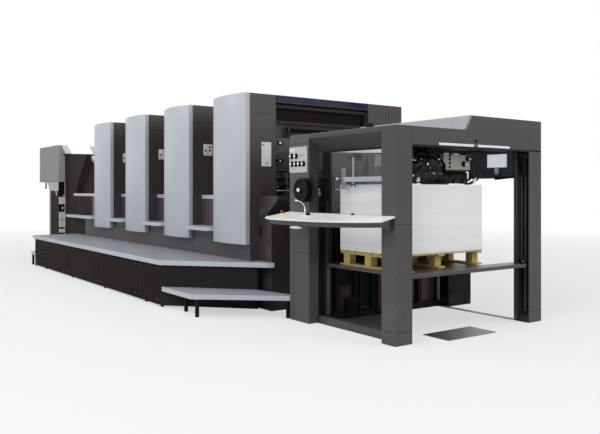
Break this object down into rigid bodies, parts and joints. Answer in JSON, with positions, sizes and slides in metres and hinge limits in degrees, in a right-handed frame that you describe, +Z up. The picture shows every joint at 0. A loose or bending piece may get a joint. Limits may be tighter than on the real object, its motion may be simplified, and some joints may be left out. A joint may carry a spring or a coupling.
{
  "type": "offset printing press",
  "caption": "Sheet-fed offset press: pile feeder with sheet pile and lift, row of printing towers with curved covers, operator gallery and delivery.",
  "frame": {"origin": "on the floor under the bed, at the middle of the row of printing units along the press and on the sheet centreline across it", "axes": "+X along the press towards the feeder, +Y across it towards the drive side, +Z up"},
  "size_m": [9.685, 2.775, 2.152],
  "materials": {
    "painted_umber": "satin",
    "cover_blue_grey": "satin",
    "black_metal": "matt",
    "painted_charcoal": "satin",
    "tinted_glass": "gloss",
    "white_panel": "matt",
    "chequer_plate": "brushed",
    "steel": "brushed",
    "painted_light_grey": "satin",
    "pallet_wood": "raw",
    "paper": "matt",
    "black_plastic": "matt",
    "blue_grey_panel": "satin",
    "clear_guard": "gloss"
  },
  "bodies": {
    "press": {"bed": "painted_umber", "unit_base_1": "painted_umber", "unit_base_2": "painted_umber", "unit_base_3": "painted_umber", "unit_base_4": "painted_umber", "unit_tower_1": "painted_umber", "unit_tower_2": "painted_umber", "unit_tower_3": "painted_umber", "unit_tower_4": "painted_umber", "unit_cover_1": "cover_blue_grey", "unit_cover_2": "cover_blue_grey", "unit_cover_3": "cover_blue_grey", "unit_cover_4": "cover_blue_grey", "tower_grilles": "black_metal", "roller_guards": "painted_charcoal", "tinted_guards": "tinted_glass", "switch_panels": "white_panel", "lower_treads": "chequer_plate", "walkway_plates": "chequer_plate", "gallery_deck": "chequer_plate", "gallery_panels": "painted_umber", "gallery_feet": "black_metal", "feeder_step": "chequer_plate", "delivery_step": "chequer_plate", "infeed_housing": "painted_umber", "feed_table": "steel", "feeder_column_near_operator": "painted_charcoal", "feeder_column_near_drive": "painted_charcoal", "feeder_column_far_operator": "painted_charcoal", "feeder_column_far_drive": "painted_charcoal", "feeder_operator_beam": "painted_charcoal", "feeder_end_beam": "painted_charcoal", "feeder_drive_beam": "painted_charcoal", "feeder_roof": "painted_light_grey", "feeder_sills": "painted_charcoal", "feeder_back_frame": "painted_umber", "lift_rails": "steel", "suction_head": "black_metal", "head_hoses": "black_plastic", "head_crossbar": "steel", "head_control_box": "painted_light_grey", "drive_inner_panel": "blue_grey_panel", "guard_window": "clear_guard", "console_shelf": "white_panel", "console_apron": "painted_charcoal", "knob_panel": "white_panel", "handwheel_shaft": "steel", "cable_cabinet": "painted_charcoal", "entry_plate": "painted_charcoal", "delivery_link": "painted_umber", "delivery_housing": "painted_umber", "delivery_frames": "painted_umber", "delivery_hood": "painted_light_grey", "delivery_top_cover": "painted_light_grey", "delivery_control_panel": "white_panel"},
    "pile_lift": {"pile_plate": "painted_charcoal", "pallet": "pallet_wood", "paper_pile": "paper"},
    "handwheel": {"handwheel": "black_plastic"}
  },
  "joints": [
    {"name": "pile_lift", "type": "slide", "parent": "press", "child": "pile_lift", "axis": [0, 0, 1], "range_m": [-0.48, 0]},
    {"name": "handwheel_turn", "type": "hinge", "parent": "press", "child": "handwheel", "pos_m": [3.375, -0.765, 1.184], "axis": [0, -1, 0], "continuous": true}
  ]
}
